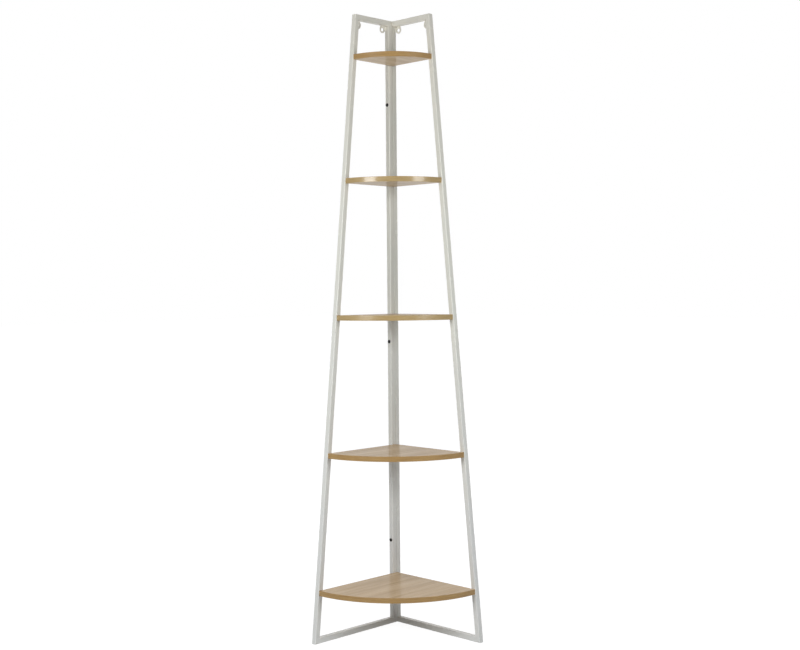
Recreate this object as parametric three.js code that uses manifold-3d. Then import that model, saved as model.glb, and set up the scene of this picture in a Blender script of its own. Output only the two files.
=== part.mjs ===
// Corner shelf unit: two welded tube frames at a right angle, with five quarter-round boards.
// Millimetres, +Z up. The origin is on the floor, at the centre of the square footprint.
// The walls meet at -X +Y. The left frame stands along the -X wall and the right frame
// along the +Y wall, left and right as seen from the room.

import * as THREE from 'three';
import { mergeVertices } from 'three/addons/utils/BufferGeometryUtils.js';
import Module from 'manifold-3d';

const wasm = await Module();
wasm.setup();

// Overall sizes
const unitHeight = 1800;
const footDepth = 345; // along each wall, at the floor
const topDepth = 165; // along each wall, at the top rail

// Square tube of both frames
const tubeWidth = 16;
const tubeWall = 1.2;
const tubeCornerRadius = 2;
const weldGap = 0.3; // between the mitred ends of two tubes

// Gap between faces that bear on each other
const contactGap = 0.1;

// Boards, with their edge bands
const boardThickness = 15;
const boardHeightShares = [0.084, 0.299, 0.517, 0.7355, 0.9345]; // top faces, of the unit's height
const boardEndSetback = 1.5; // from the front face of the leg back to the board's end
const bandThickness = 1;
const glueGap = 0.1;

// Wall eyes: flat plates with a round hole, welded into the corners under the top rails
const eyeThickness = 2;
const eyeInset = 1; // from the wall plane to the plate
const eyeHoleRadius = 5;
const eyeRailReach = 7; // from the hole's centre out to the end of the seam along the rail
const rearEye = {
  radius: 10,
  fromTube: 12.5, // from the face of the upright to the hole's centre
  fromRail: 10.5, // from the rail down to the hole's centre
  tubeSeam: 12, // length of the seam along the upright
};
const frontEye = {
  radius: 11.4,
  fromTube: 8.2,
  fromRail: 11.5,
  tubeSeam: 23,
};

// Frame bolts, through the left rear upright into nuts inside the right one
const boltHeightShares = [0.139, 0.4705, 0.862]; // of the unit's height
const boltHoleRadius = 3.3;
const bolt = {
  radius: 3,
  length: 24,
  tipRadius: 2.3,
  tipLength: 1,
  headRadius: 5.25,
  headHeight: 3.2,
  headEdge: 1,
  socketFlats: 4,
  socketDepth: 2,
  domeSteps: 4,
  segments: 24,
};
const nutWidth = 10;
const nutThickness = 5;

// Board screws, from the wall side through the tube into the edge of the board
const screwHoleRadius = 2.3;
const screwAccessRadius = 5; // hole in the wall side of the tube that lets the head in
const screw = {
  radius: 2,
  length: 25,
  tipRadius: 0.5,
  tipLength: 3,
  headRadius: 4,
  headHeight: 2.4,
  headEdge: 1,
  socketFlats: 2.5,
  socketDepth: 1.4,
  domeSteps: 2,
  segments: 12,
};
const threadClearance = 0.15; // round a shank in its bore

// Cuts run this far past the faces they open
const cutOverrun = 1;

// Facets; a curve has two facets for each step
const tubeArcSteps = 2;
const boardArcSteps = 20;
const eyeArcSteps = 10;
const boreSegments = 16;
const hexagonSides = 6;

// Worked out from the sizes above
const roomCorner = new THREE.Vector2(-footDepth / 2, footDepth / 2);
const legSlope = (footDepth - topDepth) / unitHeight;
const boardHeights = boardHeightShares.map((share) => share * unitHeight);
const boltHeights = boltHeightShares.map((share) => share * unitHeight);

const quarterTurn = Math.PI / 2;

// The left frame stands beside the right frame's rear upright, so it starts further out
const sides = {
  left: {
    start: tubeWidth + contactGap,
    wallFace: tubeWidth,
    inward: -1,
    place: new THREE.Vector3(roomCorner.x + tubeWidth, roomCorner.y, 0),
    heading: -quarterTurn,
  },
  right: {
    start: 0,
    wallFace: 0,
    inward: 1,
    place: new THREE.Vector3(roomCorner.x, roomCorner.y, 0),
    heading: 0,
  },
};

const coating = { color: 0xd9d8d2, roughness: 0.42, metalness: 0 };
const looks = {
  tube: new THREE.MeshStandardMaterial(coating),
  eye: new THREE.MeshStandardMaterial(coating),
  board: new THREE.MeshStandardMaterial({ color: 0xb39a78, roughness: 0.4, metalness: 0 }),
  band: new THREE.MeshStandardMaterial({ color: 0xa98854, roughness: 0.45, metalness: 0 }),
  bolt: new THREE.MeshStandardMaterial({ color: 0x1d1c1b, roughness: 0.4, metalness: 0.6 }),
  zinc: new THREE.MeshStandardMaterial({ color: 0xb9bcbd, roughness: 0.35, metalness: 0.9 }),
};

// Distance along the wall from the room's corner to the front face of a leg
function legFront(height) {
  return footDepth - legSlope * height;
}

// The same to the middle of the leg
function legCentre(height) {
  return legFront(height) - (tubeWidth / 2) * Math.hypot(1, legSlope);
}

function named(name, geometry, look) {
  const mesh = new THREE.Mesh(geometry, looks[look].clone());
  mesh.name = name;
  return mesh;
}

// Boolean cuts

function toSolid(geometry) {
  const bare = geometry.clone();
  bare.deleteAttribute('normal');
  bare.deleteAttribute('uv');
  const merged = mergeVertices(bare);
  const corners = merged.index.array;
  const triangles = [];
  for (let i = 0; i < corners.length; i += 3) {
    const [a, b, c] = corners.slice(i, i + 3);
    if (a !== b && b !== c && c !== a) triangles.push(a, b, c);
  }
  return new wasm.Manifold(new wasm.Mesh({
    numProp: 3,
    vertProperties: new Float32Array(merged.attributes.position.array),
    triVerts: new Uint32Array(triangles),
  }));
}

function toGeometry(solid) {
  const { vertProperties, triVerts } = solid.getMesh();
  const shared = new THREE.BufferGeometry();
  shared.setAttribute('position', new THREE.BufferAttribute(new Float32Array(vertProperties), 3));
  shared.setIndex(new THREE.BufferAttribute(new Uint32Array(triVerts), 1));
  const faceted = shared.toNonIndexed();
  faceted.computeVertexNormals();
  return faceted;
}

function cut(geometry, cutters) {
  let solid = toSolid(geometry);
  for (const cutter of cutters) solid = solid.subtract(toSolid(cutter));
  return toGeometry(solid);
}

// Round cutter from one point to another
function bore(radius, from, to) {
  const axis = new THREE.Vector3().subVectors(to, from);
  const middle = new THREE.Vector3().addVectors(from, to).divideScalar(2);
  const cutter = new THREE.CylinderGeometry(radius, radius, axis.length(), boreSegments);
  const upright = new THREE.Vector3(0, 1, 0);
  cutter.applyQuaternion(new THREE.Quaternion().setFromUnitVectors(upright, axis.normalize()));
  return cutter.translate(middle.x, middle.y, middle.z);
}

// Tubes. In a frame's own axes the first runs out along the wall, the second runs up and
// the third runs through the tube's thickness.

function roundedSquare(path, low, high, radius) {
  path.absarc(low + radius, low + radius, radius, 2 * quarterTurn, 3 * quarterTurn);
  path.absarc(high - radius, low + radius, radius, 3 * quarterTurn, 4 * quarterTurn);
  path.absarc(high - radius, high - radius, radius, 0, quarterTurn);
  path.absarc(low + radius, high - radius, radius, quarterTurn, 2 * quarterTurn);
  path.closePath();
  return path;
}

function tubeSection() {
  const section = roundedSquare(new THREE.Shape(), 0, tubeWidth, tubeCornerRadius);
  const innerRadius = tubeCornerRadius - tubeWall;
  section.holes.push(roundedSquare(new THREE.Path(), tubeWall, tubeWidth - tubeWall, innerRadius));
  return section;
}

// Corner of the frame's outline, with the matching corner one tube width further in
function mitre(before, outer, after) {
  const arriving = new THREE.Vector2().subVectors(outer, before).normalize();
  const leaving = new THREE.Vector2().subVectors(after, outer).normalize();
  const arrivingNormal = new THREE.Vector2(-arriving.y, arriving.x);
  const leavingNormal = new THREE.Vector2(-leaving.y, leaving.x);
  const reach = tubeWidth / (1 + arrivingNormal.dot(leavingNormal));
  const inner = arrivingNormal.add(leavingNormal).multiplyScalar(reach).add(outer);
  return { outer, inner };
}

// Hollow tube between two mitres
function tubeBetween(start, end) {
  const axis = new THREE.Vector2().subVectors(end.outer, start.outer);
  const tube = new THREE.ExtrudeGeometry(tubeSection(), {
    depth: axis.length(),
    bevelEnabled: false,
    curveSegments: tubeArcSteps,
  });
  const setback = axis.setLength(weldGap / 2);
  const points = tube.attributes.position;
  const place = new THREE.Vector2();
  for (let i = 0; i < points.count; i += 1) {
    const atEnd = points.getZ(i) > 0;
    const corner = atEnd ? end : start;
    place.lerpVectors(corner.outer, corner.inner, points.getX(i) / tubeWidth);
    place.addScaledVector(setback, atEnd ? -1 : 1);
    points.setXYZ(i, place.x, place.y, points.getY(i));
  }
  tube.computeVertexNormals();
  return tube;
}

// Hole through the tube's thickness; the depths are measured from the wall plane
function boreThrough(side, radius, along, height, fromDepth, toDepth) {
  const from = new THREE.Vector3(along, height, side.wallFace + side.inward * fromDepth);
  const to = new THREE.Vector3(along, height, side.wallFace + side.inward * toDepth);
  return bore(radius, from, to);
}

// Wide hole for the head in the wall side of the tube, narrow one for the shank in the room side
function screwHoles(side, along, height) {
  const roomWall = tubeWidth - tubeWall;
  return [
    boreThrough(side, screwAccessRadius, along, height, -cutOverrun, tubeWall + cutOverrun),
    boreThrough(side, screwHoleRadius, along, height, roomWall - cutOverrun, tubeWidth + cutOverrun),
  ];
}

function screwHeight(boardHeight) {
  return boardHeight - boardThickness / 2;
}

function legHoles(side) {
  return boardHeights.map(screwHeight).flatMap((height) => screwHoles(side, legCentre(height), height));
}

function leftUprightHoles(side) {
  const middle = side.start + tubeWidth / 2;
  const forBoards = boardHeights.map(screwHeight).flatMap((height) => screwHoles(side, middle, height));
  const forBolts = boltHeights.map((height) => bore(
    boltHoleRadius,
    new THREE.Vector3(side.start - cutOverrun, height, tubeWidth / 2),
    new THREE.Vector3(side.start + tubeWidth + cutOverrun, height, tubeWidth / 2),
  ));
  return [...forBoards, ...forBolts];
}

function rightUprightHoles(side) {
  const roomWall = tubeWidth - tubeWall;
  const middle = side.start + tubeWidth / 2;
  return boltHeights.map((height) => boreThrough(
    side,
    boltHoleRadius,
    middle,
    height,
    roomWall - cutOverrun,
    tubeWidth + cutOverrun,
  ));
}

// Wall eyes. The plate's first axis runs along the rail away from the upright or leg, its
// second runs up. The lean is that of the tube's face, outwards for each millimetre down.

// Direction from a circle's centre to where a line from the point touches the circle
function tangentAngle(centre, radius, point, turn) {
  const away = new THREE.Vector2().subVectors(point, centre);
  return away.angle() + turn * Math.acos(radius / away.length());
}

function eyePlate({ radius, fromTube, fromRail, tubeSeam }, lean) {
  const centre = new THREE.Vector2(fromTube - lean * fromRail, -fromRail);
  const tubeEnd = new THREE.Vector2(contactGap - lean * tubeSeam, -tubeSeam);
  const railEnd = new THREE.Vector2(centre.x + eyeRailReach, -contactGap);
  const plate = new THREE.Shape();
  plate.moveTo(contactGap, -contactGap);
  plate.lineTo(tubeEnd.x, tubeEnd.y);
  plate.absarc(
    centre.x,
    centre.y,
    radius,
    tangentAngle(centre, radius, tubeEnd, 1),
    tangentAngle(centre, radius, railEnd, -1),
  );
  plate.lineTo(railEnd.x, railEnd.y);
  plate.closePath();
  const hole = new THREE.Path();
  plate.holes.push(hole.absarc(centre.x, centre.y, eyeHoleRadius, 0, 4 * quarterTurn));
  return new THREE.ExtrudeGeometry(plate, {
    depth: eyeThickness,
    bevelEnabled: false,
    curveSegments: eyeArcSteps,
  });
}

function addEyes(frame, sideName, side, frontCorner) {
  const faces = [eyeInset, eyeInset + eyeThickness].map((depth) => side.wallFace + side.inward * depth);
  const underRail = unitHeight - tubeWidth;
  const rear = named(`${sideName}_rear_wall_eye`, eyePlate(rearEye, 0), 'eye');
  rear.position.set(side.start + tubeWidth, underRail, Math.min(...faces));
  const front = named(`${sideName}_front_wall_eye`, eyePlate(frontEye, legSlope), 'eye');
  front.rotation.y = 2 * quarterTurn;
  front.position.set(frontCorner.x, underRail, Math.max(...faces));
  frame.add(rear, front);
}

// Screws. The axis is the second one, the head's underside is at zero and the tip points down.

function domedHead({ headRadius, headHeight, headEdge, domeSteps }) {
  const points = [new THREE.Vector2(headRadius, 0)];
  for (let step = 0; step <= domeSteps; step += 1) {
    const angle = (step / domeSteps) * quarterTurn;
    const rise = (headHeight - headEdge) * Math.sin(angle);
    const radius = step === domeSteps ? 0 : headRadius * Math.cos(angle);
    points.push(new THREE.Vector2(radius, headEdge + rise));
  }
  return points;
}

function socketScrew(size) {
  const profile = [
    new THREE.Vector2(0, -size.length),
    new THREE.Vector2(size.tipRadius, -size.length),
    new THREE.Vector2(size.radius, size.tipLength - size.length),
    new THREE.Vector2(size.radius, 0),
    ...domedHead(size),
  ];
  const socketRadius = size.socketFlats / (2 * Math.cos(Math.PI / hexagonSides));
  const socketLength = size.socketDepth + cutOverrun;
  const socket = new THREE.CylinderGeometry(socketRadius, socketRadius, socketLength, hexagonSides);
  socket.translate(0, size.headHeight - size.socketDepth + socketLength / 2, 0);
  return cut(new THREE.LatheGeometry(profile, size.segments), [socket]);
}

function nutBlank() {
  const half = nutWidth / 2;
  const block = new THREE.Shape();
  block.moveTo(-half, -half);
  block.lineTo(half, -half);
  block.lineTo(half, half);
  block.lineTo(-half, half);
  block.closePath();
  const thread = new THREE.Path();
  block.holes.push(thread.absarc(0, 0, bolt.radius + threadClearance, 0, 4 * quarterTurn));
  return new THREE.ExtrudeGeometry(block, {
    depth: nutThickness,
    bevelEnabled: false,
    curveSegments: boreSegments / 2,
  });
}

// Screw with its head against the room side of the tube, from inside
function boardScrew(name, side, along, height) {
  const mesh = named(name, socketScrew(screw), 'zinc');
  const headDepth = tubeWidth - tubeWall - contactGap;
  mesh.rotation.x = -side.inward * quarterTurn;
  mesh.position.set(along, height, side.wallFace + side.inward * headDepth);
  return mesh;
}

function addFrameBolts(frame, side) {
  boltHeights.forEach((height, i) => {
    const mesh = named(`frame_bolt_${i + 1}`, socketScrew(bolt), 'bolt');
    mesh.rotation.z = -quarterTurn;
    mesh.position.set(side.start + tubeWidth + contactGap, height, tubeWidth / 2);
    frame.add(mesh);
  });
}

function addFrameNuts(frame, side) {
  boltHeights.forEach((height, i) => {
    const mesh = named(`frame_nut_${i + 1}`, nutBlank(), 'zinc');
    const nutFace = tubeWidth - tubeWall - contactGap - nutThickness;
    mesh.position.set(side.start + tubeWidth / 2, height, nutFace);
    frame.add(mesh);
  });
}

function makeFrame(sideName) {
  const side = sides[sideName];
  const outline = [
    new THREE.Vector2(side.start, 0),
    new THREE.Vector2(footDepth, 0),
    new THREE.Vector2(topDepth, unitHeight),
    new THREE.Vector2(side.start, unitHeight),
  ];
  const last = outline.length - 1;
  const [rearFoot, frontFoot, frontTop, rearTop] = outline.map((corner, i) => mitre(
    outline[i === 0 ? last : i - 1],
    corner,
    outline[i === last ? 0 : i + 1],
  ));
  const uprightHoles = sideName === 'left' ? leftUprightHoles(side) : rightUprightHoles(side);

  const frame = new THREE.Group();
  frame.add(
    named(`${sideName}_bottom_rail`, tubeBetween(rearFoot, frontFoot), 'tube'),
    named(`${sideName}_front_leg`, cut(tubeBetween(frontFoot, frontTop), legHoles(side)), 'tube'),
    named(`${sideName}_top_rail`, tubeBetween(frontTop, rearTop), 'tube'),
    named(`${sideName}_rear_upright`, cut(tubeBetween(rearTop, rearFoot), uprightHoles), 'tube'),
  );
  addEyes(frame, sideName, side, frontTop.inner);

  boardHeights.forEach((boardHeight, i) => {
    const height = screwHeight(boardHeight);
    const name = `shelf_${i + 1}_${sideName}_screw`;
    frame.add(boardScrew(name, side, legCentre(height), height));
    if (sideName === 'left') {
      const rearName = `shelf_${i + 1}_rear_screw`;
      frame.add(boardScrew(rearName, side, side.start + tubeWidth / 2, height));
    }
  });
  if (sideName === 'left') addFrameBolts(frame, side);
  else addFrameNuts(frame, side);

  frame.rotation.set(quarterTurn, 0, side.heading, 'ZYX');
  frame.position.copy(side.place);
  return frame;
}

// Boards. In a board's own axes the rear corner is at zero, the left straight edge runs
// along -Y, the right one along +X, and the third axis runs up from the underside.

function slab(outline) {
  return new THREE.ExtrudeGeometry(outline, {
    depth: boardThickness,
    bevelEnabled: false,
    curveSegments: boardArcSteps,
  });
}

function frontBand(radius) {
  const outline = new THREE.Shape();
  outline.absarc(0, 0, radius, -quarterTurn, 0, false);
  outline.absarc(0, 0, radius - bandThickness, 0, -quarterTurn, true);
  outline.closePath();
  return slab(outline);
}

// Quarter round inside the bands
function boardCore(radius) {
  const edge = bandThickness + glueGap;
  const round = radius - bandThickness - glueGap;
  const lead = Math.asin(edge / round);
  const outline = new THREE.Shape();
  outline.absarc(0, 0, round, lead - quarterTurn, -lead, false);
  outline.lineTo(edge, -edge);
  outline.closePath();
  return slab(outline);
}

function boxBetween(low, high) {
  const size = new THREE.Vector3().subVectors(high, low);
  const middle = new THREE.Vector3().addVectors(low, high).divideScalar(2);
  return new THREE.BoxGeometry(size.x, size.y, size.z).translate(middle.x, middle.y, middle.z);
}

function leftBand(end) {
  return boxBetween(
    new THREE.Vector3(0, -end, 0),
    new THREE.Vector3(bandThickness, 0, boardThickness),
  );
}

function rightBand(end) {
  return boxBetween(
    new THREE.Vector3(bandThickness + glueGap, -bandThickness, 0),
    new THREE.Vector3(end, 0, boardThickness),
  );
}

function makeShelf(number, topHeight) {
  const inset = tubeWidth + contactGap;
  const radius = legFront(topHeight) - boardEndSetback - inset;
  const bandEnd = radius - bandThickness - 2 * glueGap;
  const height = boardThickness / 2;
  const rearAlong = tubeWidth / 2;
  const legAlong = legCentre(screwHeight(topHeight)) - inset;
  const pilotRadius = screw.radius + threadClearance;
  const pilotDepth = screw.length - tubeWall - 2 * contactGap + threadClearance;

  const fromLeft = (along) => bore(
    pilotRadius,
    new THREE.Vector3(-cutOverrun, -along, height),
    new THREE.Vector3(pilotDepth, -along, height),
  );
  const fromRight = bore(
    pilotRadius,
    new THREE.Vector3(legAlong, cutOverrun, height),
    new THREE.Vector3(legAlong, -pilotDepth, height),
  );
  const leftPilots = [fromLeft(rearAlong), fromLeft(legAlong)];

  const shelf = new THREE.Group();
  shelf.add(
    named(`shelf_${number}_board`, cut(boardCore(radius), [...leftPilots, fromRight]), 'board'),
    named(`shelf_${number}_front_band`, frontBand(radius), 'band'),
    named(`shelf_${number}_left_band`, cut(leftBand(bandEnd), leftPilots), 'band'),
    named(`shelf_${number}_right_band`, cut(rightBand(bandEnd), [fromRight]), 'band'),
  );
  shelf.position.set(roomCorner.x + inset, roomCorner.y - inset, topHeight - boardThickness);
  return shelf;
}

const cornerShelf = new THREE.Group();
cornerShelf.add(makeFrame('left'), makeFrame('right'));
boardHeights.forEach((height, i) => cornerShelf.add(makeShelf(i + 1, height)));

export default cornerShelf;
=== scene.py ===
"""Looks of the corner shelf unit: coated tube frames, faced boards with edge bands, bolts and screws."""
import math

import bmesh
import bpy
from mathutils import Matrix, Vector


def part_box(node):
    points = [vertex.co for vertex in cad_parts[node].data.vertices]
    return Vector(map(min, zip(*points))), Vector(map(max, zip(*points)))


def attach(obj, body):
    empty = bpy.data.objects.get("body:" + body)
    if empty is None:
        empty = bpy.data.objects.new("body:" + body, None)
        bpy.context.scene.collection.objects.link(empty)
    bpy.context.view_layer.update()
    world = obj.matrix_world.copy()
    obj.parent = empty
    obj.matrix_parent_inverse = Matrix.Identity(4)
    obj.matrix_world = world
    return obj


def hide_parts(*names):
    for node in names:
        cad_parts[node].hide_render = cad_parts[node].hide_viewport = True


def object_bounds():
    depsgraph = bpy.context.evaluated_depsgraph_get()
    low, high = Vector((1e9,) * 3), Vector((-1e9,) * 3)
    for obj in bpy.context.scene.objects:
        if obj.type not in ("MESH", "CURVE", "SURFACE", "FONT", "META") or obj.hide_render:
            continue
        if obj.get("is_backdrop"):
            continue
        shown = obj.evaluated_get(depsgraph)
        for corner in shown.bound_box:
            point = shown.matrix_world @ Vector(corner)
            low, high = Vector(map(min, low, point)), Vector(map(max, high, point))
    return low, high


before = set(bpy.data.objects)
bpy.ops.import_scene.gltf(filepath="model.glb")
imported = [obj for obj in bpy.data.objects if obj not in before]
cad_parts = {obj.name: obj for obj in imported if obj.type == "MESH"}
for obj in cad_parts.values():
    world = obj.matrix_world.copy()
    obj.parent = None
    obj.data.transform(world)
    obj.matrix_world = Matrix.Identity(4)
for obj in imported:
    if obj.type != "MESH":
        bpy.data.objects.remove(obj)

cad_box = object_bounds()

# Sizes in metres that the frame's boxes don't give

MM = 0.001
TUBE_WALL = 1.2 * MM
TUBE_CORNER_RADIUS = 2 * MM
WELD_GAP = 0.3 * MM
SCREW_ACCESS_RADIUS = 5 * MM
SCREW_HOLE_RADIUS = 2.3 * MM
BOLT_HOLE_RADIUS = 3.3 * MM
THREAD_CLEARANCE = 0.15 * MM
CUT_OVERRUN = 1 * MM

QUARTER_TURN = math.pi / 2
FULL_TURN = 2 * math.pi
SIDES = ("left", "right")
EYE_ENDS = ("rear", "front")
SHELVES = range(1, 6)
BOLTS = range(1, 4)
# Painted light: these shelves get a paler copy of the round band, standing in for the brighter light on
# them
PAINTED_LIGHT_SHELVES = (3, 4)


def size_of(node):
    low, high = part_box(node)
    return high - low


def middle_of(node):
    low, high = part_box(node)
    return (low + high) / 2


room_corner = Vector((cad_box[0].x, cad_box[1].y))
unit_height = cad_box[1].z
tube_width = size_of("left_rear_upright").x
band_thickness = size_of("shelf_1_left_band").x


# A frame's own directions: along the wall from the room's corner, up, and depth from the wall

def frame_point(side, along, height, depth):
    """A place given in a frame's own directions, as a point of the part."""
    if side == "left":
        return Vector((room_corner.x + depth, room_corner.y - along, height))
    return Vector((room_corner.x + along, room_corner.y - depth, height))


def span_along(side, node):
    """Nearest and furthest reach of a node along its wall, from the room's corner."""
    low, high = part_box(node)
    if side == "left":
        return room_corner.y - high.y, room_corner.y - low.y
    return low.x - room_corner.x, high.x - room_corner.x


def span_depth(side, node):
    """Nearest and furthest reach of a node from its wall."""
    low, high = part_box(node)
    if side == "left":
        return low.x - room_corner.x, high.x - room_corner.x
    return room_corner.y - high.y, room_corner.y - low.y


def frame_outline(side):
    """Outer corners of a frame as (along, height): rear foot, front foot, front top and rear top."""
    start, foot = span_along(side, f"{side}_bottom_rail")
    top = span_along(side, f"{side}_top_rail")[1]
    half_gap = WELD_GAP / 2
    return [
        Vector((start - half_gap, 0)),
        Vector((foot + half_gap, 0)),
        Vector((top + half_gap, unit_height)),
        Vector((start - half_gap, unit_height)),
    ]


# Node trees

MIX_SHARE, MIX_FIRST, MIX_SECOND = 0, 6, 7  # inputs of a Mix node that blends colours
MIX_RESULT = 2  # its output
NOISE_LOW, NOISE_HIGH = 0.3, 0.7  # most values of a noise lie between these


class NodeTree:
    """A material's or the world's nodes, with short ways to add and link them."""

    def __init__(self, owner, output_kind):
        self.owner = owner
        owner.use_nodes = True
        self.nodes = owner.node_tree.nodes
        self.links = owner.node_tree.links
        self.nodes.clear()
        self.output = self.nodes.new(output_kind)

    def add(self, kind, inputs=(), **settings):
        node = self.nodes.new(kind)
        for key, value in settings.items():
            setattr(node, key, value)
        for socket, value in dict(inputs).items():
            self.set(node, socket, value)
        return node

    def set(self, node, socket, value):
        target = node.inputs[socket]
        if isinstance(value, bpy.types.NodeSocket):
            self.links.new(value, target)
        else:
            target.default_value = value

    def place(self, scale=(1, 1, 1), turn=(0, 0, 0), shift=(0, 0, 0)):
        """The object's own coordinates in metres, moved and stretched."""
        coordinates = self.add("ShaderNodeTexCoord").outputs["Object"]
        changes = {"Scale": scale, "Rotation": turn, "Location": shift}
        return self.add("ShaderNodeMapping", {"Vector": coordinates, **changes}).outputs["Vector"]

    def noise(self, place, scale, detail, roughness=0.5, distortion=0.0):
        node = self.add(
            "ShaderNodeTexNoise",
            {
                "Vector": place,
                "Scale": scale,
                "Detail": detail,
                "Roughness": roughness,
                "Distortion": distortion,
            },
        )
        return node.outputs["Fac"]

    def spread(self, value, low, high, to_low, to_high):
        node = self.add(
            "ShaderNodeMapRange",
            {"Value": value, "From Min": low, "From Max": high, "To Min": to_low, "To Max": to_high},
        )
        return node.outputs["Result"]

    def vary(self, noise, to_low, to_high):
        """A noise's usual range, spread over another one."""
        return self.spread(noise, NOISE_LOW, NOISE_HIGH, to_low, to_high)

    def peaks(self, noise, low, high):
        """0 where the noise is below low, 1 where it is above high, and even in between."""
        return self.spread(noise, low, high, 0.0, 1.0)

    def calculate(self, operation, first, second):
        return self.add("ShaderNodeMath", {0: first, 1: second}, operation=operation).outputs["Value"]

    def plus(self, first, second):
        return self.calculate("ADD", first, second)

    def times(self, first, second):
        return self.calculate("MULTIPLY", first, second)

    def blend(self, share, first, second, blend_type="MIX"):
        inputs = {MIX_SHARE: share, MIX_FIRST: first, MIX_SECOND: second}
        node = self.add("ShaderNodeMix", data_type="RGBA", blend_type=blend_type)
        for socket, value in inputs.items():
            self.set(node, socket, value)
        return node.outputs[MIX_RESULT]

    def ramp(self, value, stops):
        node = self.add("ShaderNodeValToRGB", {"Fac": value})
        elements = node.color_ramp.elements
        while len(elements) < len(stops):
            elements.new(1.0)
        for element, (position, color) in zip(elements, stops):
            element.position = position
            element.color = color
        return node.outputs["Color"]

    def bump(self, height, distance, strength, normal=None):
        inputs = {"Height": height, "Distance": distance, "Strength": strength}
        node = self.add("ShaderNodeBump", inputs)
        if normal is not None:
            self.set(node, "Normal", normal)
        return node.outputs["Normal"]

    def seen_directly(self):
        """1 for camera, glossy and transmission rays, and 0 for the others."""
        path = self.add("ShaderNodeLightPath")
        total = path.outputs["Is Camera Ray"]
        for name in ("Is Glossy Ray", "Is Transmission Ray"):
            total = self.calculate("MAXIMUM", total, path.outputs[name])
        return total

    def mix(self, share, first, second):
        return self.add("ShaderNodeMixShader", {"Fac": share, 1: first, 2: second}).outputs["Shader"]

    def finish(self, shader):
        self.links.new(shader, self.output.inputs["Surface"])
        return self.owner

    def surface(self, **inputs):
        """The material with a Principled surface; underscores in the names stand for spaces."""
        named = {key.replace("_", " "): value for key, value in inputs.items()}
        return self.finish(self.add("ShaderNodeBsdfPrincipled", named).outputs["BSDF"])


def material_tree(name):
    return NodeTree(bpy.data.materials.new(name), "ShaderNodeOutputMaterial")


# Tones

WHITE = (255, 255, 255)


def linear(red, green, blue):
    """An sRGB colour out of 255 as the linear colour that sockets take."""
    def channel(value):
        share = value / 255
        return share / 12.92 if share <= 0.04045 else ((share + 0.055) / 1.055) ** 2.4
    return (channel(red), channel(green), channel(blue), 1.0)


def tones(*stops):
    """Stops of a colour ramp, from pairs of a position and an sRGB colour out of 255."""
    return [(position, linear(*color)) for position, color in stops]


# Neutral to warm white: random tone, and mostly painted warm light towards the top
COAT_TONES_AND_WARM_LIGHT = tones((0.0, (228, 228, 226)), (0.55, (228, 227, 217)), (1.0, (228, 224, 213)))
PAINTED_WARM_LIGHT_FROM = 0.3  # metres above the floor, where the painted warm light on the coat starts
COAT_PATCH_SHARE = 0.2  # of the warmth, as random patches of tone; the height gives the rest as painted warm light
STEEL_TONES = tones((0.35, (96, 92, 88)), (0.65, (132, 128, 122)))
OXIDE_TONES = tones((0.35, (24, 23, 22)), (0.7, (44, 42, 40)))
ZINC_TONES = tones((0.3, (186, 190, 194)), (0.55, (200, 200, 196)), (0.75, (206, 200, 182)))

FACING_RINGS = tones((0.3, (221, 198, 166)), (0.5, (213, 189, 157)), (0.7, (199, 174, 141)))
FACING_STREAKS = tones((0.3, WHITE), (0.7, (238, 231, 221)))
FACING_FIBRES = tones((0.3, WHITE), (0.7, (248, 245, 240)))
FACING_PORES = linear(150, 116, 78)
BAND_RINGS = tones((0.3, (190, 152, 100)), (0.5, (180, 141, 88)), (0.7, (164, 124, 73)))
BAND_STREAKS = tones((0.3, WHITE), (0.7, (218, 203, 182)))
BAND_PORES = linear(110, 76, 42)
GOLDEN_RINGS = tones((0.3, (188, 155, 99)), (0.5, (177, 143, 87)), (0.7, (163, 128, 74)))
# Painted light: the golden rings made paler, for the more brightly lit round bands
PAINTED_LIGHT_RINGS = tones((0.3, (194, 171, 123)), (0.5, (185, 161, 112)), (0.7, (172, 147, 98)))
ROUND_STREAKS = tones((0.3, WHITE), (0.7, (226, 213, 195)))
ROUND_FLECKS = linear(112, 78, 44)


# Coat and metals

def powder_coat():
    """White coat, a little warmer towards the top as painted warm light, with fine orange peel and
    faintly uneven gloss.
    """
    s = material_tree("powder_coat")
    place = s.place()
    height = s.add("ShaderNodeSeparateXYZ", {"Vector": place}).outputs["Z"]
    # Painted warm light: the coat's colour turns warmer with height
    painted_warm_light = s.spread(height, PAINTED_WARM_LIGHT_FROM, unit_height, 0.0, 1 - COAT_PATCH_SHARE)
    by_patch = s.vary(s.noise(place, scale=9, detail=3), 0.0, COAT_PATCH_SHARE)
    gloss = s.noise(place, scale=40, detail=2)
    peel = s.noise(place, scale=420, detail=2, roughness=0.45)
    grit = s.noise(place, scale=2600, detail=1)
    normal = s.bump(peel, distance=0.012 * MM, strength=0.4)
    normal = s.bump(grit, distance=0.003 * MM, strength=0.3, normal=normal)
    return s.surface(
        Base_Color=s.ramp(s.plus(painted_warm_light, by_patch), COAT_TONES_AND_WARM_LIGHT),
        Roughness=s.vary(gloss, 0.255, 0.275),
        Normal=normal,
    )


def bare_steel():
    """Uncoated mill steel inside the tubes, with a dull oxide bloom."""
    s = material_tree("bare_steel")
    bloom = s.noise(s.place(), scale=120, detail=4, roughness=0.6)
    return s.surface(
        Base_Color=s.ramp(bloom, STEEL_TONES),
        Metallic=0.8,
        Roughness=s.vary(bloom, 0.45, 0.65),
        Normal=s.bump(bloom, distance=0.02 * MM, strength=0.4),
    )


def black_oxide():
    """Dark finish of the frame bolts, a little worn."""
    s = material_tree("black_oxide")
    wear = s.noise(s.place(), scale=900, detail=3)
    return s.surface(
        Base_Color=s.ramp(wear, OXIDE_TONES),
        Metallic=0.5,
        Roughness=s.vary(wear, 0.32, 0.46),
        Normal=s.bump(wear, distance=0.01 * MM, strength=0.5),
    )


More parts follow.
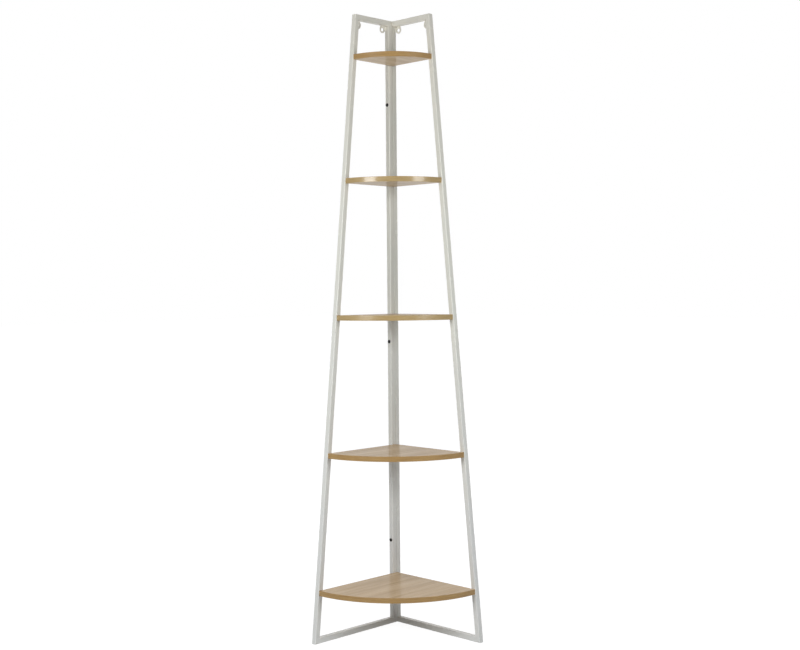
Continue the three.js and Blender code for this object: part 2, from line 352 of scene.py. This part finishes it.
def zinc():
    """Plated screws and nuts, bluish to yellowish, with fine scratches."""
    s = material_tree("zinc_plate")
    bloom = s.noise(s.place(), scale=420, detail=3)
    scratches = s.noise(s.place(scale=(1, 1, 12)), scale=800, detail=2)
    return s.surface(
        Base_Color=s.ramp(bloom, ZINC_TONES),
        Metallic=1.0,
        Roughness=s.vary(bloom, 0.26, 0.4),
        Normal=s.bump(scratches, distance=0.008 * MM, strength=0.4),
    )


# Wood patterns

GRAIN_STRETCH = 0.045
PORE_STRETCH = 0.9 * GRAIN_STRETCH
PORE_TONE_SHARE = 0.3
PORE_DEPTH = 0.6  # against the fibres' height


def wood_grain(s, grain_scale, turn=0.0, shift=0.0):
    """Rings, long streaks, fibres and pores that run along Y before the turn about Z."""
    grain_place = s.place((1, GRAIN_STRETCH, 1), (0, 0, turn), (shift, 0, shift))
    rings = s.noise(grain_place, scale=26 * grain_scale, detail=3, roughness=0.55, distortion=0.6)
    streaks = s.noise(grain_place, scale=120 * grain_scale, detail=3, roughness=0.55)
    fibres = s.noise(grain_place, scale=900 * grain_scale, detail=2, roughness=0.6)
    pore_place = s.place((1, PORE_STRETCH, 1), (0, 0, turn), (shift, shift, 0))
    specks = s.noise(pore_place, scale=1500 * grain_scale, detail=1)
    return rings, streaks, fibres, s.peaks(specks, low=0.62, high=0.74)


def stain(s, base, shades, pores, pore_color):
    """The base tone under its shades, with a part of the pores' own colour over it."""
    color = base
    for shade in shades:
        color = s.blend(1.0, color, shade, "MULTIPLY")
    return s.blend(s.times(pores, PORE_TONE_SHARE), color, pore_color)


def board_facing():
    """Golden oak pattern under a clear satin film, with the grain along the left edge."""
    s = material_tree("board_facing")
    rings, streaks, fibres, pores = wood_grain(s, grain_scale=1.0)
    shades = [s.ramp(streaks, FACING_STREAKS), s.ramp(fibres, FACING_FIBRES)]
    relief = s.plus(fibres, s.times(pores, -PORE_DEPTH))
    normal = s.bump(relief, distance=0.006 * MM, strength=0.35)
    return s.surface(
        Base_Color=stain(s, s.ramp(rings, FACING_RINGS), shades, pores, FACING_PORES),
        Roughness=s.vary(streaks, 0.5, 0.6),
        Specular_IOR_Level=0.0,
        Coat_Weight=0.47,
        Coat_Roughness=s.vary(streaks, 0.18, 0.22),
        Normal=normal,
        Coat_Normal=normal,
    )


def edge_band(name, along_x):
    """The same oak in a deeper tone, its grain along the edge, under a glossier film."""
    s = material_tree(name)
    turn = QUARTER_TURN if along_x else 0.0
    rings, streaks, fibres, pores = wood_grain(s, grain_scale=1.3, turn=turn, shift=0.2)
    shades = [s.ramp(streaks, BAND_STREAKS)]
    return s.surface(
        Base_Color=stain(s, s.ramp(rings, BAND_RINGS), shades, pores, BAND_PORES),
        IOR=1.45,
        Roughness=s.vary(streaks, 0.18, 0.24),
        Normal=s.bump(fibres, distance=0.006 * MM, strength=0.35),
    )


def round_edge_band(name, ring_tones):
    """The round edge's oak: the grain follows the curve because it mostly changes with height."""
    s = material_tree(name)
    grain_place = s.place(scale=(3, 3, 110))
    rings = s.noise(grain_place, scale=6, detail=3, roughness=0.6, distortion=0.3)
    streaks = s.noise(grain_place, scale=22, detail=4, roughness=0.65)
    specks = s.noise(s.place(scale=(26, 26, 700)), scale=4, detail=2)
    flecks = s.peaks(specks, low=0.6, high=0.75)
    shades = [s.ramp(streaks, ROUND_STREAKS)]
    normal = s.bump(streaks, distance=0.005 * MM, strength=0.3)
    return s.surface(
        Base_Color=stain(s, s.ramp(rings, ring_tones), shades, flecks, ROUND_FLECKS),
        IOR=1.3,
        Roughness=s.vary(streaks, 0.36, 0.42),
        Coat_Weight=0.75,
        Coat_Roughness=0.15,
        Coat_IOR=1.45,
        Normal=normal,
        Coat_Normal=normal,
    )


# Meshes

SHARP_ANGLE = math.radians(32)
HOLE_SEGMENTS = 40


def add_object(name, data):
    thing = bpy.data.objects.new(name, data)
    bpy.context.scene.collection.objects.link(thing)
    return thing


def finish_piece(name, mesh, materials, nodes=()):
    """A piece from its mesh, smooth between sharp edges, with its body, slot and CAD nodes."""
    mesh.validate()
    mesh.shade_smooth()
    mesh.set_sharp_from_angle(angle=SHARP_ANGLE)
    piece = add_object(name, mesh)
    for material in materials:
        mesh.materials.append(material)
    weighted = piece.modifiers.new("even_normals", "WEIGHTED_NORMAL")
    weighted.keep_sharp = True
    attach(piece, "root")
    if nodes:
        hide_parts(*nodes)


def mesh_from(shape, name):
    mesh = bpy.data.meshes.new(name)
    shape.to_mesh(mesh)
    shape.free()
    return mesh


def join_rings(shape, near, far):
    """New faces between two rings of equal count."""
    faces = []
    for i in range(len(near)):
        j = (i + 1) % len(near)
        faces.append(shape.faces.new((near[i], near[j], far[j], far[i])))
    return faces


def cap_ends(shape, rings):
    shape.faces.new(list(reversed(rings[0])))
    shape.faces.new(rings[-1])


def loft(name, rings, closed=False, inner_from=None):
    """Skin over rings of equal count. A closed loft joins its last ring to its first, others get caps.
    The faces between ring inner_from and the last ring take the second material."""
    shape = bmesh.new()
    made = [[shape.verts.new(point) for point in ring] for ring in rings]
    for number, (near, far) in enumerate(zip(made, made[1:])):
        faces = join_rings(shape, near, far)
        if inner_from is not None and number >= inner_from:
            for face in faces:
                face.material_index = 1
    if closed:
        join_rings(shape, made[-1], made[0])
    else:
        cap_ends(shape, made)
    bmesh.ops.recalc_face_normals(shape, faces=shape.faces)
    return mesh_from(shape, name)


def add_cylinder(shape, start, end, radius):
    axis = end - start
    turn = axis.to_track_quat("Z", "Y").to_matrix().to_4x4()
    bmesh.ops.create_cone(
        shape,
        cap_ends=True,
        segments=HOLE_SEGMENTS,
        radius1=radius,
        radius2=radius,
        depth=axis.length,
        matrix=Matrix.Translation((start + end) / 2) @ turn,
    )


def cut_holes(mesh, holes):
    """The mesh less the round holes, each given as start, end and radius."""
    shape = bmesh.new()
    for start, end, radius in holes:
        add_cylinder(shape, start, end, radius)
    cutter = add_object("cutter", mesh_from(shape, "cutter"))
    body = add_object("body", mesh)
    boolean = body.modifiers.new("holes", "BOOLEAN")
    boolean.operation = "DIFFERENCE"
    boolean.solver = "EXACT"
    boolean.object = cutter
    bpy.context.view_layer.update()
    result = bpy.data.meshes.new_from_object(body.evaluated_get(bpy.context.evaluated_depsgraph_get()))
    for thing in (cutter, body):
        bpy.data.objects.remove(thing)
    return result


# Tube frames

TUBE_CORNER_STEPS = 7
SEAM_PROFILE = [  # distance along the tube from its mitre, and the swell of its skin there
    (0, -0.1 * MM),
    (0.35 * MM, -0.075 * MM),
    (0.8 * MM, -0.02 * MM),
    (1.2 * MM, 0),
]


def tube_section(inset, radius):
    """Rounded square as points with their outward normals, counter-clockwise."""
    low, high = inset + radius, tube_width - inset - radius
    centres = [(low, low), (high, low), (high, high), (low, high)]
    section = []
    for number, centre in enumerate(centres):
        for step in range(TUBE_CORNER_STEPS + 1):
            angle = (number + 2 + step / TUBE_CORNER_STEPS) * QUARTER_TURN
            normal = Vector((math.cos(angle), math.sin(angle)))
            section.append((Vector(centre) + radius * normal, normal))
    return section


def mitre(before, outer, after):
    """Outer and inner end of the cut between two tubes that meet at an outline's corner."""
    arriving = (outer - before).normalized()
    leaving = (after - outer).normalized()
    normals = Vector((-arriving.y, arriving.x)), Vector((-leaving.y, leaving.x))
    inner = outer + (normals[0] + normals[1]) * (tube_width / (1 + normals[0].dot(normals[1])))
    return outer, inner


def tube_ring(side, corner, travel, section, distance, swell):
    """The section laid on a corner's mitre plane, moved along the tube and swollen."""
    outer, inner = corner
    ring = []
    for point, normal in section:
        across, depth = point + swell * normal
        place = outer.lerp(inner, across / tube_width) + distance * travel
        ring.append(frame_point(side, place.x, place.y, depth))
    return ring


def tube_mesh(side, name, start, end):
    """A tube from mitre to mitre: the skin with a seam at both ends, then the bore back again."""
    travel = (end[0] - start[0]).normalized()
    outer_section = tube_section(0, TUBE_CORNER_RADIUS)
    inner_section = tube_section(TUBE_WALL, TUBE_CORNER_RADIUS - TUBE_WALL)
    rings = []
    for distance, swell in SEAM_PROFILE:
        rings.append(tube_ring(side, start, travel, outer_section, distance, swell))
    for distance, swell in reversed(SEAM_PROFILE):
        rings.append(tube_ring(side, end, travel, outer_section, -distance, swell))
    bore_start = len(rings)
    for corner in (end, start):
        rings.append(tube_ring(side, corner, travel, inner_section, 0, 0))
    return loft(name, rings, closed=True, inner_from=bore_start)


def screw_holes(side, screw):
    """The wide hole in the wall side of the tube and the narrow one in its room side."""
    along = sum(span_along(side, screw)) / 2
    height = middle_of(screw).z
    outer_wall = (-CUT_OVERRUN, TUBE_WALL + CUT_OVERRUN, SCREW_ACCESS_RADIUS)
    inner_wall = (tube_width - TUBE_WALL - CUT_OVERRUN, tube_width + CUT_OVERRUN, SCREW_HOLE_RADIUS)
    return [
        (frame_point(side, along, height, start), frame_point(side, along, height, end), radius)
        for start, end, radius in (outer_wall, inner_wall)
    ]


def bolt_holes(side, upright_start):
    """Left: right through the upright along the wall. Right: through the wall that faces it."""
    holes = []
    for number in BOLTS:
        height = middle_of(f"frame_bolt_{number}").z
        if side == "left":
            start = frame_point(side, upright_start - CUT_OVERRUN, height, tube_width / 2)
            end = frame_point(side, upright_start + tube_width + CUT_OVERRUN, height, tube_width / 2)
        else:
            start = frame_point(side, tube_width / 2, height, tube_width - TUBE_WALL - CUT_OVERRUN)
            end = frame_point(side, tube_width / 2, height, tube_width + CUT_OVERRUN)
        holes.append((start, end, BOLT_HOLE_RADIUS))
    return holes


def make_frame(side, coat, steel):
    """The four tubes of a frame, each from one corner of its outline to the next."""
    outline = frame_outline(side)
    count = len(outline)
    corners = [mitre(outline[i - 1], outline[i], outline[(i + 1) % count]) for i in range(count)]
    leg_screws = [f"shelf_{number}_{side}_screw" for number in SHELVES]
    holes = {
        "bottom_rail": [],
        "front_leg": [hole for screw in leg_screws for hole in screw_holes(side, screw)],
        "top_rail": [],
        "rear_upright": bolt_holes(side, outline[0].x),
    }
    if side == "left":
        rear_screws = [f"shelf_{number}_rear_screw" for number in SHELVES]
        holes["rear_upright"] += [hole for screw in rear_screws for hole in screw_holes(side, screw)]
    for number, (member, member_holes) in enumerate(holes.items()):
        node = f"{side}_{member}"
        mesh = tube_mesh(side, f"{node}_tube", corners[number], corners[(number + 1) % count])
        if member_holes:
            mesh = cut_holes(mesh, member_holes)
        finish_piece(f"{node}_tube", mesh, [coat, steel], [node])


# Weld beads of the eyes

BEAD_RADIUS = 0.9 * MM
BEAD_START = 1 * MM
BEAD_SINK = 0.1 * MM
BEAD_STEPS = 28
BEAD_SIDES = 8
BEAD_RIPPLES = 6
BEAD_RIPPLE_DEPTH = 0.07
BEAD_END_SHARE = 0.02


def add_bead(shape, start, stop, outward, face_depth, face_turn, at):
    """A fillet of weld between a plate's face and the tube, rippled and tapered at its ends."""
    rings = []
    for step in range(BEAD_STEPS + 1):
        share = step / BEAD_STEPS
        taper = math.sqrt(max(BEAD_END_SHARE, 1 - (2 * share - 1) ** 4))
        ripple = 1 + BEAD_RIPPLE_DEPTH * math.sin(BEAD_RIPPLES * FULL_TURN * share)
        reach = BEAD_RADIUS * taper * ripple
        base = start.lerp(stop, share)
        ring = [at(base - BEAD_SINK * outward, face_depth - BEAD_SINK * face_turn)]
        for side_step in range(BEAD_SIDES + 1):
            angle = QUARTER_TURN * side_step / BEAD_SIDES
            across = base + outward * reach * math.cos(angle)
            ring.append(at(across, face_depth + face_turn * reach * math.sin(angle)))
        rings.append([shape.verts.new(point) for point in ring])
    for near, far in zip(rings, rings[1:]):
        join_rings(shape, near, far)
    cap_ends(shape, rings)


# Wall eyes

EYE_SIZES = {  # the hole's centre lies that far from the tube and from the rail's underside
    "rear": {"radius": 10 * MM, "from_tube": 12.5 * MM, "from_rail": 10.5 * MM, "tube_seam": 12 * MM},
    "front": {"radius": 11.4 * MM, "from_tube": 8.2 * MM, "from_rail": 11.5 * MM, "tube_seam": 23 * MM},
}
EYE_HOLE_RADIUS = 5 * MM
EYE_RAIL_REACH = 7 * MM
EYE_EDGE = 0.35 * MM
EYE_ARC_STEPS = 44
EYE_SEAM_STEPS = 20


def tangent_angle(centre, radius, point, turn):
    """Angle at which the tangent through a point touches a circle, on the side of the turn's sign."""
    away = point - centre
    return math.atan2(away.y, away.x) + turn * math.acos(radius / away.length)


def eye_outline(size, lean):
    """Centre, seam ends and outline of an eye: x away from the upright or leg, y up from the rail."""
    corner = Vector((0, 0))
    centre = Vector((size["from_tube"] - lean * size["from_rail"], -size["from_rail"]))
    tube_end = Vector((-lean * size["tube_seam"], -size["tube_seam"]))
    rail_end = Vector((centre.x + EYE_RAIL_REACH, 0))
    first = tangent_angle(centre, size["radius"], tube_end, 1)
    last = tangent_angle(centre, size["radius"], rail_end, -1)
    last += FULL_TURN * math.ceil((first - last) / FULL_TURN)
    points = [corner.lerp(tube_end, i / EYE_SEAM_STEPS) for i in range(EYE_SEAM_STEPS)]
    points.append(tube_end)
    for step in range(EYE_ARC_STEPS + 1):
        angle = first + (last - first) * step / EYE_ARC_STEPS
        points.append(centre + size["radius"] * Vector((math.cos(angle), math.sin(angle))))
    points += [rail_end.lerp(corner, i / EYE_SEAM_STEPS) for i in range(EYE_SEAM_STEPS)]
    return centre, tube_end, rail_end, points


def eye_seat(side, end):
    """An eye's corner along the wall, the way it points from there (1 or -1), and its tube's lean."""
    rear_foot, front_foot, front_top, rear_top = frame_outline(side)
    if end == "rear":
        return rear_foot.x + tube_width, 1, 0.0
    inner_corner = mitre(front_foot, front_top, rear_top)[1]
    return inner_corner.x, -1, (front_foot.x - front_top.x) / unit_height


def moved_out(points, centre, change):
    """The points, each moved straight away from the centre by the change."""
    moved = []
    for point in points:
        away = point - centre
        moved.append(centre + away * (1 + change / away.length))
    return moved


def make_eye(side, end, coat):
    """One eye with its weld beads, placed in the corner of its rail and upright or leg."""
    node = f"{side}_{end}_wall_eye"
    near, far = span_depth(side, node)
    under_rail = unit_height - tube_width
    seat, direction, lean = eye_seat(side, end)

    def at(point, depth):
        return frame_point(side, seat + direction * point.x, under_rail + point.y, depth)

    centre, tube_end, rail_end, outline = eye_outline(EYE_SIZES[end], lean)
    hole = [centre + (point - centre).normalized() * EYE_HOLE_RADIUS for point in outline]
    profile = [
        (outline, -EYE_EDGE, near),
        (outline, 0, near + EYE_EDGE),
        (outline, 0, far - EYE_EDGE),
        (outline, -EYE_EDGE, far),
        (hole, EYE_EDGE, far),
        (hole, 0, far - EYE_EDGE),
        (hole, 0, near + EYE_EDGE),
        (hole, EYE_EDGE, near),
    ]
    rings = [
        [at(point, depth) for point in moved_out(loop, centre, change)]
        for loop, change, depth in profile
    ]
    plate = loft(f"{node}_plate", rings, closed=True)
    finish_piece(f"{node}_plate", plate, [coat], [node])

    shape = bmesh.new()
    seams = [
        (Vector((-lean * BEAD_START, -BEAD_START)), tube_end, Vector((1, 0))),
        (Vector((BEAD_START, 0)), rail_end, Vector((0, -1))),
    ]
    for start, stop, outward in seams:
        for face_depth, face_turn in ((near, -1), (far, 1)):
            add_bead(shape, start, stop, outward, face_depth, face_turn, at)
    bmesh.ops.recalc_face_normals(shape, faces=shape.faces)
    finish_piece(f"{node}_weld", mesh_from(shape, f"{node}_weld"), [coat])


# Boards

BOARD_CHAMFER = 0.25 * MM
BAND_EDGE_RADIUS = 0.5 * MM
BAND_EDGE_STEPS = 4
BOARD_ARC_STEPS = 96


def board_ring(corner, radius, inset, height):
    """Quarter round inside the bands, moved in by the inset, as seen from above."""
    edge = band_thickness + inset
    round_radius = radius - edge
    lead = math.asin(edge / round_radius)  # what each straight edge takes off the quarter turn
    ring = [Vector((corner.x + edge, corner.y - edge, height))]
    for step in range(BOARD_ARC_STEPS + 1):
        angle = -QUARTER_TURN + lead + (QUARTER_TURN - 2 * lead) * step / BOARD_ARC_STEPS
        x, y = round_radius * math.cos(angle), round_radius * math.sin(angle)
        ring.append(Vector((corner.x + x, corner.y + y, height)))
    return ring


def band_section(low, high):
    """Strip's section as (outward, height) pairs: square at the board, rounded outside."""
    r = BAND_EDGE_RADIUS
    section = [(0, low)]
    for centre, start in ((low + r, -QUARTER_TURN), (high - r, 0.0)):
        for step in range(BAND_EDGE_STEPS + 1):
            angle = start + QUARTER_TURN * step / BAND_EDGE_STEPS
            section.append((band_thickness - r + r * math.cos(angle), centre + r * math.sin(angle)))
    section.append((0, high))
    return section


def round_band_rings(corner, radius, low, high):
    """The band's section at every step of the board's arc, from the left end to the right one."""
    section = band_section(low, high)
    rings = []
    for step in range(BOARD_ARC_STEPS + 1):
        angle = -QUARTER_TURN + QUARTER_TURN * step / BOARD_ARC_STEPS
        direction = Vector((math.cos(angle), math.sin(angle)))
        rings.append([
            Vector((
                corner.x + direction.x * (radius - band_thickness + out),
                corner.y + direction.y * (radius - band_thickness + out),
                height,
            ))
            for out, height in section
        ])
    return rings


def straight_band_rings(start, end, outward, low, high):
    """The band's section at both of its ends, with its outer face on the line between them."""
    section = band_section(low, high)
    return [
        [Vector((*(place + outward * (out - band_thickness)), height)) for out, height in section]
        for place in (start, end)
    ]


def screw_bore(screw, side):
    """Bore for a board screw, from outside the board's edge to just past the screw's tip."""
    low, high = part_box(screw)
    middle = (low + high) / 2
    if side == "right":
        start = Vector((middle.x, high.y, middle.z))
        end = Vector((middle.x, low.y - THREAD_CLEARANCE, middle.z))
    else:
        start = Vector((low.x, middle.y, middle.z))
        end = Vector((high.x + THREAD_CLEARANCE, middle.y, middle.z))
    return start, end, SCREW_HOLE_RADIUS - THREAD_CLEARANCE


def make_shelf(number, facing, round_band, left_band, right_band):
    """A board and its three edge bands, with bores for the board screws."""
    name = f"shelf_{number}"
    low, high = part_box(f"{name}_front_band")
    corner = Vector((low.x, high.y))
    radius = high.x - low.x
    bores = {
        "front": [],
        "left": [screw_bore(f"{name}_rear_screw", "left"), screw_bore(f"{name}_left_screw", "left")],
        "right": [screw_bore(f"{name}_right_screw", "right")],
    }

    levels = [
        (BOARD_CHAMFER, low.z),
        (0, low.z + BOARD_CHAMFER),
        (0, high.z - BOARD_CHAMFER),
        (BOARD_CHAMFER, high.z),
    ]
    board_rings = [board_ring(corner, radius, inset, height) for inset, height in levels]
    board = cut_holes(loft(f"{name}_panel", board_rings), bores["left"] + bores["right"])
    finish_piece(f"{name}_panel", board, [facing], [f"{name}_board"])

    reach = math.sqrt((radius - band_thickness) ** 2 - band_thickness ** 2)
    left_end = corner + Vector((0, -reach))
    right_start = corner + Vector((band_thickness, 0))
    right_end = corner + Vector((reach, 0))
    rings = {
        "front": round_band_rings(corner, radius, low.z, high.z),
        "left": straight_band_rings(corner, left_end, Vector((-1, 0)), low.z, high.z),
        "right": straight_band_rings(right_start, right_end, Vector((0, 1)), low.z, high.z),
    }
    materials = {"front": round_band, "left": left_band, "right": right_band}
    for edge, material in materials.items():
        mesh = loft(f"{name}_{edge}_edge", rings[edge])
        if bores[edge]:
            mesh = cut_holes(mesh, bores[edge])
        finish_piece(f"{name}_{edge}_edge", mesh, [material], [f"{name}_{edge}_band"])


# Frame bolts

BOLT_SEGMENTS = 48
BOLT_SHANK_RADIUS = 3 * MM
BOLT_SOCKET_FLATS = 4 * MM
BOLT_SOCKET_DEPTH = 2 * MM
BOLT_HEAD_HEIGHT = 3.2 * MM
BOLT_HEAD_EDGE = 1 * MM
BOLT_FLAT_RADIUS = 0.66 * BOLT_SOCKET_FLATS
BOLT_TIP_LENGTH = 1 * MM
BOLT_TIP_RADIUS = 2.3 * MM
BOLT_RIM = 0.25 * MM
BOLT_DOME_STEPS = 8


def hexagon_radius(angle, flats):
    """From a hexagon's centre to its side at an angle, for a width across its flats."""
    sixth = FULL_TURN / 6
    return flats / 2 / math.cos((angle % sixth) - sixth / 2)


def bolt_rings(node):
    """A button head bolt along Y, its head towards -Y, from the tip round to the socket's floor."""
    low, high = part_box(node)
    centre = (low + high) / 2
    head_radius = (high.x - low.x) / 2
    seat = low.y + BOLT_HEAD_HEIGHT
    profile = [
        (BOLT_TIP_RADIUS, high.y),
        (BOLT_SHANK_RADIUS, high.y - BOLT_TIP_LENGTH),
        (BOLT_SHANK_RADIUS, seat),
        (head_radius - BOLT_RIM, seat),
        (head_radius, seat - BOLT_RIM),
        (head_radius, seat - BOLT_HEAD_EDGE),
    ]
    dome = BOLT_HEAD_HEIGHT - BOLT_HEAD_EDGE
    for step in range(1, BOLT_DOME_STEPS + 1):
        angle = QUARTER_TURN * step / BOLT_DOME_STEPS
        radius = BOLT_FLAT_RADIUS + (head_radius - BOLT_FLAT_RADIUS) * math.cos(angle)
        profile.append((radius, seat - BOLT_HEAD_EDGE - dome * math.sin(angle)))
    socket = [
        (BOLT_SOCKET_FLATS + BOLT_RIM, low.y),
        (BOLT_SOCKET_FLATS, low.y + BOLT_RIM / 2),
        (BOLT_SOCKET_FLATS, low.y + BOLT_SOCKET_DEPTH),
    ]
    angles = [FULL_TURN * i / BOLT_SEGMENTS for i in range(BOLT_SEGMENTS)]

    def ring(radii, y):
        return [
            Vector((centre.x + radius * math.cos(angle), y, centre.z + radius * math.sin(angle)))
            for radius, angle in zip(radii, angles)
        ]

    rings = [ring([radius] * BOLT_SEGMENTS, y) for radius, y in profile]
    rings += [ring([hexagon_radius(angle, flats) for angle in angles], y) for flats, y in socket]
    return rings


# Camera

CAMERA_PLACE = Vector((2.4328, -2.4360, 1.0090))
CAMERA_AZIMUTH = 45
CAMERA_PAN = math.radians(-0.277)
CAMERA_TILT = math.radians(-1.763)
CAMERA_ROLL = math.radians(-0.483)
SENSOR_WIDTH = 36
FOCAL_SHARE = 1223 / 800  # focal length over the picture's width


def level_direction(angle):
    """Level direction away from the unit; the angle is 0 in front and grows to the right."""
    return Vector((math.sin(angle), -math.cos(angle), 0))


def make_camera():
    data = bpy.data.cameras.new("camera")
    data.sensor_fit = "HORIZONTAL"
    data.sensor_width = SENSOR_WIDTH
    data.lens = SENSOR_WIDTH * FOCAL_SHARE
    camera = add_object("camera", data)
    level = level_direction(math.radians(CAMERA_AZIMUTH + 180) + CAMERA_PAN)
    forward = level * math.cos(CAMERA_TILT) + Vector((0, 0, math.sin(CAMERA_TILT)))
    right = forward.cross(Vector((0, 0, 1))).normalized()
    up = right.cross(forward)
    rolled_right = right * math.cos(CAMERA_ROLL) + up * math.sin(CAMERA_ROLL)
    rolled_up = up * math.cos(CAMERA_ROLL) - right * math.sin(CAMERA_ROLL)
    axes = Matrix((rolled_right, rolled_up, -forward)).transposed()
    camera.matrix_world = Matrix.Translation(CAMERA_PLACE) @ axes.to_4x4()
    bpy.context.scene.camera = camera


# Light

LAMP_TARGET_LIMIT = 0.6 * unit_height  # lamps point level up to here, and higher ones down at it
COOL_LIGHT = (0.97, 0.99, 1.0)
NEUTRAL_LIGHT = (1, 1, 1)
WARM_LIGHT = (1.0, 0.98, 0.95)
FRONT_BOX = {"distance": 2.2, "height": 1.38, "size": (0.80, 0.92), "color": COOL_LIGHT}
BACK_BOX = {"distance": 2.6, "height": 1.2, "size": (1.4, 1.8), "color": NEUTRAL_LIGHT}
CEILING = {"distance": 0.6, "height": 5.0, "size": (4.0, 4.0), "color": WARM_LIGHT}
AMBIENT = 0.02


def soft_box(name, azimuth, radiance, distance, height, size, color):
    """A lamp at an azimuth in degrees from the camera's side, positive to the viewer's right."""
    data = bpy.data.lights.new(name, "AREA")
    data.shape = "RECTANGLE"
    data.size, data.size_y = size
    data.energy = radiance * math.pi * size[0] * size[1]
    data.color = color
    lamp = add_object(name, data)
    direction = level_direction(math.radians(CAMERA_AZIMUTH + azimuth))
    lamp.location = direction * distance + Vector((0, 0, height))
    target = Vector((0, 0, min(height, LAMP_TARGET_LIMIT)))
    lamp.rotation_euler = (target - lamp.location).to_track_quat("-Z", "Y").to_euler()


def make_lights():
    soft_box("left_box", azimuth=-43.5, radiance=14.5, **FRONT_BOX)
    soft_box("right_box", azimuth=46, radiance=10.5, **FRONT_BOX)
    soft_box("left_back", azimuth=-152, radiance=2.6, **BACK_BOX)
    soft_box("right_back", azimuth=152, radiance=2.6, **BACK_BOX)
    soft_box("ceiling", azimuth=0, radiance=0.75, **CEILING)


def make_world():
    """White where it is seen directly, and a faint light on everything else."""
    world = bpy.data.worlds.new("studio")
    bpy.context.scene.world = world
    s = NodeTree(world, "ShaderNodeOutputWorld")
    faint = s.add("ShaderNodeBackground", {"Color": linear(*WHITE), "Strength": AMBIENT})
    full = s.add("ShaderNodeBackground", {"Color": linear(*WHITE), "Strength": 1.0})
    s.finish(s.mix(s.seen_directly(), faint.outputs["Background"], full.outputs["Background"]))


# Floor

FLOOR_SIZE = 60.0
FLOOR_TONE = Vector((0.73, 0.75, 0.77))
FLOOR_DUST = 0.02
FLOOR_GLOW_SHARE = 0.75
FLOOR_GLOW_NEAR = 1.24
FLOOR_GLOW_FAR = 1.36
FLOOR_GLOW_START = 0.4
FLOOR_GLOW_END = 1.8


def floor_material():
    """A pale matt floor that keeps the shadows, with a glow where it is seen directly."""
    s = material_tree("floor")
    dust = s.noise(s.place(), scale=3, detail=4)
    dull = (*(FLOOR_TONE * (1 - FLOOR_DUST)), 1)
    clean = (*(FLOOR_TONE * (1 + FLOOR_DUST)), 1)
    tone = s.ramp(dust, [(NOISE_LOW, dull), (NOISE_HIGH, clean)])
    matt = s.add("ShaderNodeBsdfDiffuse", {"Color": tone})
    distance = s.add("ShaderNodeVectorMath", {0: s.place()}, operation="LENGTH").outputs["Value"]
    strength = s.spread(distance, FLOOR_GLOW_START, FLOOR_GLOW_END, FLOOR_GLOW_NEAR, FLOOR_GLOW_FAR)
    glow = s.add("ShaderNodeEmission", {"Color": linear(*WHITE), "Strength": strength})
    share = s.times(s.seen_directly(), FLOOR_GLOW_SHARE)
    return s.finish(s.mix(share, matt.outputs["BSDF"], glow.outputs["Emission"]))


def make_floor():
    half = FLOOR_SIZE / 2
    mesh = bpy.data.meshes.new("floor")
    corners = [(-half, -half, 0), (half, -half, 0), (half, half, 0), (-half, half, 0)]
    mesh.from_pydata(corners, [], [(0, 1, 2, 3)])
    mesh.materials.append(floor_material())
    floor = add_object("floor", mesh)
    floor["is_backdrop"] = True


# Bolts, and the CAD's own screws and nuts

def dress_hardware(oxide, zinc_plate):
    """Finer frame bolts, and a plated look for the CAD's screws and nuts."""
    for number in BOLTS:
        node = f"frame_bolt_{number}"
        mesh = loft(f"{node}_cap", bolt_rings(node))
        finish_piece(f"{node}_cap", mesh, [oxide], [node])
    for name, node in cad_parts.items():
        if name.endswith("_screw") or name.startswith("frame_nut"):
            node.data.materials.clear()
            node.data.materials.append(zinc_plate)


# The whole scene

make_camera()
make_world()
make_floor()
make_lights()
bpy.context.scene.view_settings.view_transform = "Standard"

coat_material = powder_coat()
steel_material = bare_steel()
for frame_side in SIDES:
    make_frame(frame_side, coat_material, steel_material)
    for eye_end in EYE_ENDS:
        make_eye(frame_side, eye_end, coat_material)

facing_material = board_facing()
golden_band = round_edge_band("edge_band_golden", GOLDEN_RINGS)
# Painted light: a paler copy of the round band for the more brightly lit shelves
painted_light_band = round_edge_band("edge_band_painted_light", PAINTED_LIGHT_RINGS)
straight_bands = edge_band("edge_band_left", False), edge_band("edge_band_right", True)
for shelf_number in SHELVES:
    band_material = painted_light_band if shelf_number in PAINTED_LIGHT_SHELVES else golden_band
    make_shelf(shelf_number, facing_material, band_material, *straight_bands)

dress_hardware(black_oxide(), zinc())

boxes = {"cad": cad_box, "visual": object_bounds()}
{name: [list(low), list(high)] for name, (low, high) in boxes.items()}
